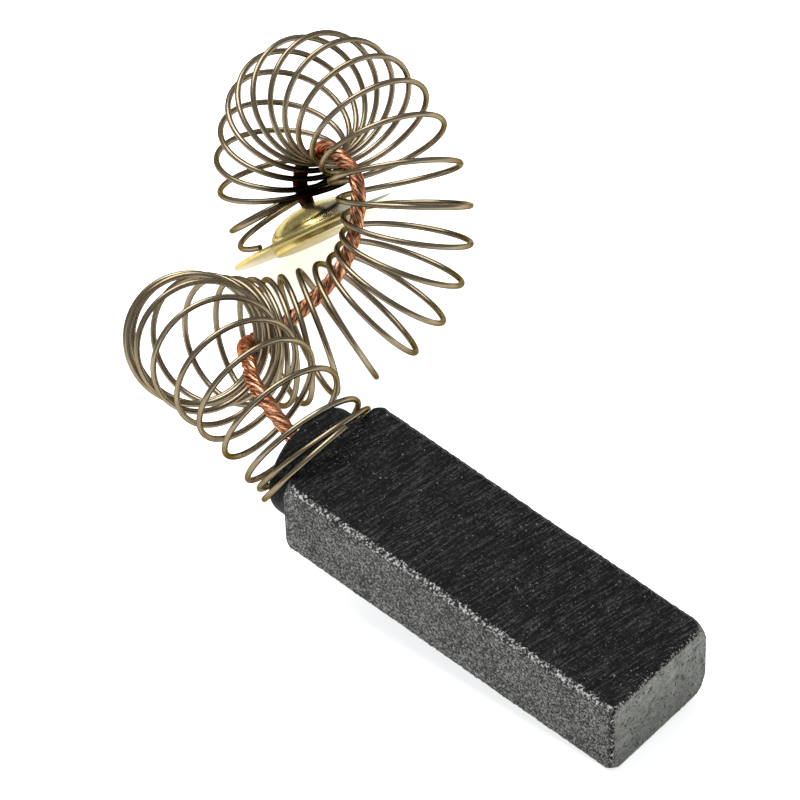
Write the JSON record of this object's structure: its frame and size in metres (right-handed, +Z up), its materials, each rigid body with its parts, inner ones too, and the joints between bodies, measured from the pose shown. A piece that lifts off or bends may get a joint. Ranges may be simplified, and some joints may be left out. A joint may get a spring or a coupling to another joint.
{
  "type": "carbon_brush",
  "caption": "Electrical carbon brush: black carbon block, bent coil spring, twisted copper shunt and brass contact cap",
  "frame": {"origin": "Middle of the footprint at floor level, with the loose part lying as it comes to rest", "axes": "+X along the block toward its contact face, +Y across it toward the side where the spring curls, +Z up"},
  "size_m": [0.0689, 0.0388, 0.0246],
  "materials": {
    "carbon": "matte pressed carbon, sawn and granular",
    "plug": "rammed copper powder",
    "copper": "bare twisted copper wire",
    "spring_steel": "drawn spring wire, slightly yellowed",
    "brass": "stamped brass, satin"
  },
  "bodies": {
    "root": {"carbon_block": "carbon", "shunt_plug": "plug", "shunt": "copper", "spring": "spring_steel", "contact_cap": "brass"}
  },
  "joints": []
}
